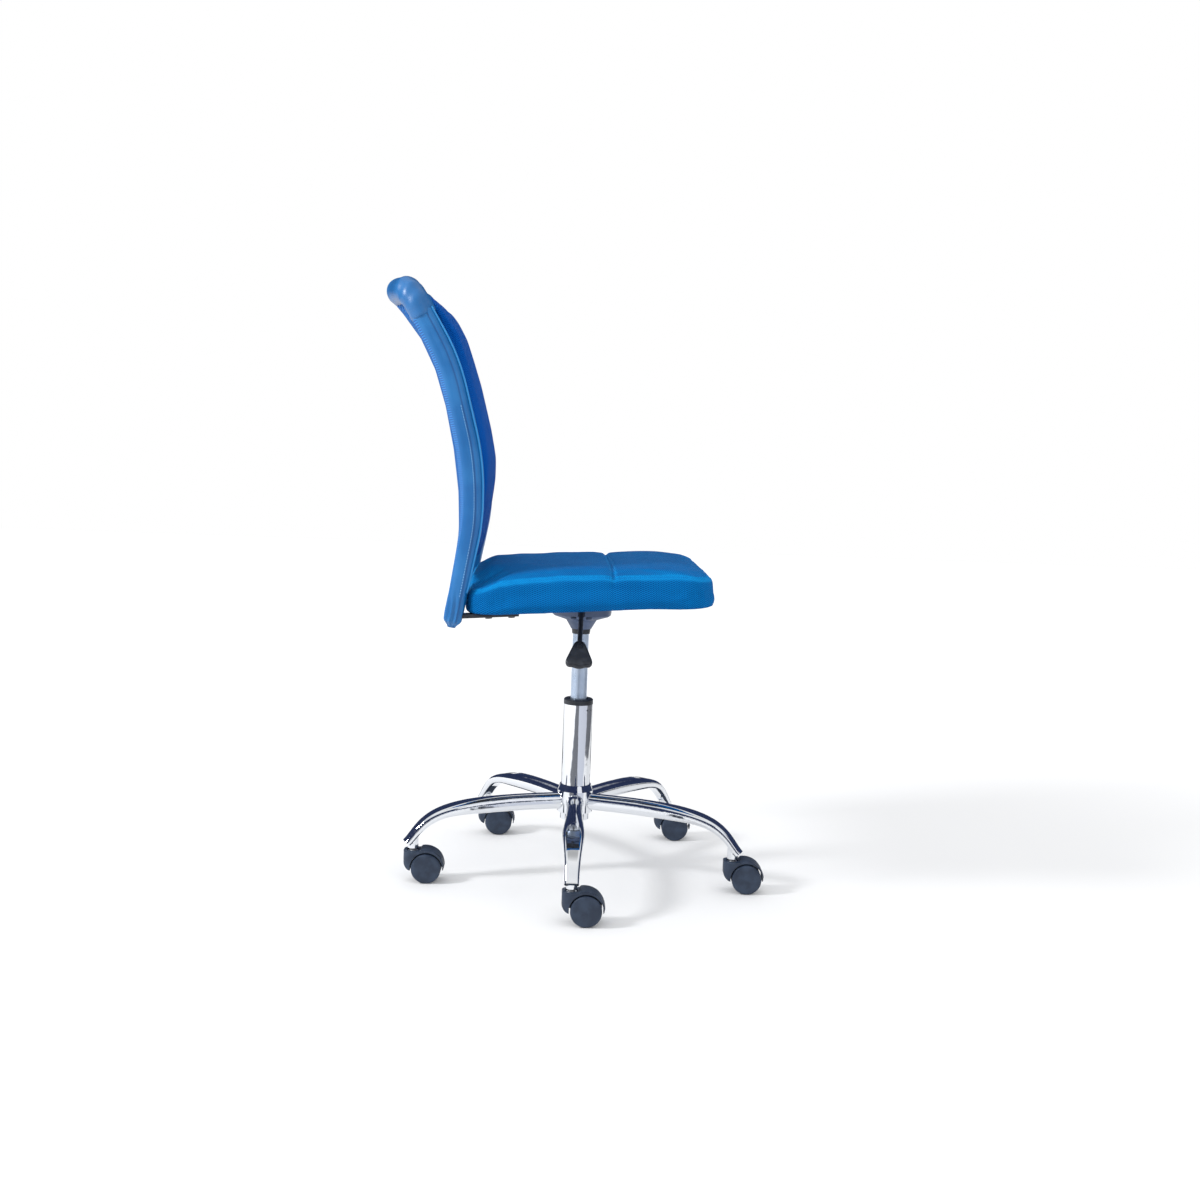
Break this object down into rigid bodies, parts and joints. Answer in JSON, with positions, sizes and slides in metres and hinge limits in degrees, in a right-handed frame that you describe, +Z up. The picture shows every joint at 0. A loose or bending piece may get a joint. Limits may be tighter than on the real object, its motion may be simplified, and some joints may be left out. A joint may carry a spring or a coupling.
{
  "type": "swivel office chair",
  "caption": "Armless swivel chair: padded seat, bowed mesh back on a tube frame, gas lift with side lever, five-arm star base on twin-wheel casters.",
  "frame": {"origin": "on the floor under the gas column's axis", "axes": "+Z up along the column, the chair faces -Y, the height lever is on the -X side"},
  "size_m": [0.5665, 0.6626, 1.004],
  "materials": {
    "chrome": "bright chrome plate",
    "black_plastic": "moulded, half gloss",
    "steel": "zinc-plated",
    "grey_cylinder": "polished steel",
    "seal_rubber": "plain",
    "grey_paint": "powder coat",
    "plywood": "raw",
    "black_cloth": "non-woven",
    "foam": "open-cell",
    "blue_mesh": "coarse woven mesh",
    "blue_leather": "half-gloss synthetic leather",
    "black_paint": "powder coat",
    "slate_nylon": "moulded nylon"
  },
  "bodies": {
    "base": {"star_hub": "chrome", "star_arm_1": "chrome", "star_arm_2": "chrome", "star_arm_3": "chrome", "star_arm_4": "chrome", "star_arm_5": "chrome", "caster_socket_sleeves": "chrome", "column_tube": "chrome", "column_bush": "black_plastic", "thrust_washer": "steel"},
    "piston": {"thrust_bearing": "steel", "piston_rod": "steel", "piston_head": "steel", "rod_clip": "steel"},
    "seat": {"gas_cylinder": "grey_cylinder", "cylinder_seal": "seal_rubber", "taper_collar": "black_plastic", "swivel_plate": "grey_paint", "seat_bolts": "steel", "tee_nuts": "steel", "seat_board": "plywood", "seat_dust_cover": "black_cloth", "seat_foam": "foam", "seat_cover": "blue_mesh", "back_frame": "black_paint", "back_pad_foam": "foam", "back_front_cover": "blue_mesh", "back_rear_mesh": "blue_mesh", "back_side_sleeve_left": "blue_leather", "back_side_sleeve_right": "blue_leather", "back_top_sleeve": "blue_leather", "lever_bracket": "steel"},
    "lever": {"lever_rod": "black_paint", "lever_paddle": "black_plastic"},
    "valve": {"valve_pin": "steel"},
    "caster_1": {"caster_1_hood": "slate_nylon", "caster_1_stem": "steel", "caster_1_axle": "steel"},
    "caster_1_wheel_a": {"caster_1_wheel_a": "slate_nylon"},
    "caster_1_wheel_b": {"caster_1_wheel_b": "slate_nylon"},
    "caster_2": {"caster_2_hood": "slate_nylon", "caster_2_stem": "steel", "caster_2_axle": "steel"},
    "caster_2_wheel_a": {"caster_2_wheel_a": "slate_nylon"},
    "caster_2_wheel_b": {"caster_2_wheel_b": "slate_nylon"},
    "caster_3": {"caster_3_hood": "slate_nylon", "caster_3_stem": "steel", "caster_3_axle": "steel"},
    "caster_3_wheel_a": {"caster_3_wheel_a": "slate_nylon"},
    "caster_3_wheel_b": {"caster_3_wheel_b": "slate_nylon"},
    "caster_4": {"caster_4_hood": "slate_nylon", "caster_4_stem": "steel", "caster_4_axle": "steel"},
    "caster_4_wheel_a": {"caster_4_wheel_a": "slate_nylon"},
    "caster_4_wheel_b": {"caster_4_wheel_b": "slate_nylon"},
    "caster_5": {"caster_5_hood": "slate_nylon", "caster_5_stem": "steel", "caster_5_axle": "steel"},
    "caster_5_wheel_a": {"caster_5_wheel_a": "slate_nylon"},
    "caster_5_wheel_b": {"caster_5_wheel_b": "slate_nylon"}
  },
  "joints": [
    {"name": "seat_swivel", "type": "hinge", "parent": "base", "child": "piston", "pos_m": [0, 0, 0.1], "axis": [0, 0, 1], "continuous": true},
    {"name": "seat_lift", "type": "slide", "parent": "piston", "child": "seat", "axis": [0, 0, 1], "range_m": [-0.09, 0]},
    {"name": "lever_tilt", "type": "hinge", "parent": "seat", "child": "lever", "pos_m": [-0.03798, 0.00133, 0.471], "axis": [0.0349, 0.9994, 0], "range_deg": [0, 6], "stiffness_Nm_per_rad": 3, "springref_deg": -8.59},
    {"name": "valve_travel", "type": "slide", "parent": "seat", "child": "valve", "axis": [0, 0, -1], "range_m": [0, 0.004]},
    {"name": "caster_1_swivel", "type": "hinge", "parent": "base", "child": "caster_1", "pos_m": [-0.2849, 0.00746, 0.06], "axis": [0, 0, 1], "continuous": true},
    {"name": "caster_1_roll_a", "type": "hinge", "parent": "caster_1", "child": "caster_1_wheel_a", "pos_m": [-0.28553, -0.01653, 0.025], "axis": [0.9997, -0.0262, 0], "continuous": true},
    {"name": "caster_1_roll_b", "type": "hinge", "parent": "caster_1", "child": "caster_1_wheel_b", "pos_m": [-0.28553, -0.01653, 0.025], "axis": [0.9997, -0.0262, 0], "continuous": true},
    {"name": "caster_2_swivel", "type": "hinge", "parent": "base", "child": "caster_2", "pos_m": [-0.09513, -0.26865, 0.06], "axis": [0, 0, 1], "continuous": true},
    {"name": "caster_2_roll_a", "type": "hinge", "parent": "caster_2", "child": "caster_2_wheel_a", "pos_m": [-0.09576, -0.29264, 0.025], "axis": [0.9997, -0.0262, 0], "continuous": true},
    {"name": "caster_2_roll_b", "type": "hinge", "parent": "caster_2", "child": "caster_2_wheel_b", "pos_m": [-0.09576, -0.29264, 0.025], "axis": [0.9997, -0.0262, 0], "continuous": true},
    {"name": "caster_3_swivel", "type": "hinge", "parent": "base", "child": "caster_3", "pos_m": [0.22611, -0.1735, 0.06], "axis": [0, 0, 1], "continuous": true},
    {"name": "caster_3_roll_a", "type": "hinge", "parent": "caster_3", "child": "caster_3_wheel_a", "pos_m": [0.22548, -0.19749, 0.025], "axis": [0.9997, -0.0262, 0], "continuous": true},
    {"name": "caster_3_roll_b", "type": "hinge", "parent": "caster_3", "child": "caster_3_wheel_b", "pos_m": [0.22548, -0.19749, 0.025], "axis": [0.9997, -0.0262, 0], "continuous": true},
    {"name": "caster_4_swivel", "type": "hinge", "parent": "base", "child": "caster_4", "pos_m": [0.23488, 0.16143, 0.06], "axis": [0, 0, 1], "continuous": true},
    {"name": "caster_4_roll_a", "type": "hinge", "parent": "caster_4", "child": "caster_4_wheel_a", "pos_m": [0.23425, 0.13743, 0.025], "axis": [0.9997, -0.0262, 0], "continuous": true},
    {"name": "caster_4_roll_b", "type": "hinge", "parent": "caster_4", "child": "caster_4_wheel_b", "pos_m": [0.23425, 0.13743, 0.025], "axis": [0.9997, -0.0262, 0], "continuous": true},
    {"name": "caster_5_swivel", "type": "hinge", "parent": "base", "child": "caster_5", "pos_m": [-0.08094, 0.27326, 0.06], "axis": [0, 0, 1], "continuous": true},
    {"name": "caster_5_roll_a", "type": "hinge", "parent": "caster_5", "child": "caster_5_wheel_a", "pos_m": [-0.08157, 0.24927, 0.025], "axis": [0.9997, -0.0262, 0], "continuous": true},
    {"name": "caster_5_roll_b", "type": "hinge", "parent": "caster_5", "child": "caster_5_wheel_b", "pos_m": [-0.08157, 0.24927, 0.025], "axis": [0.9997, -0.0262, 0], "continuous": true}
  ],
  "couplings": [
    {"joint": "valve_travel", "follows": "lever_tilt", "m_per_rad": 0.038}
  ]
}
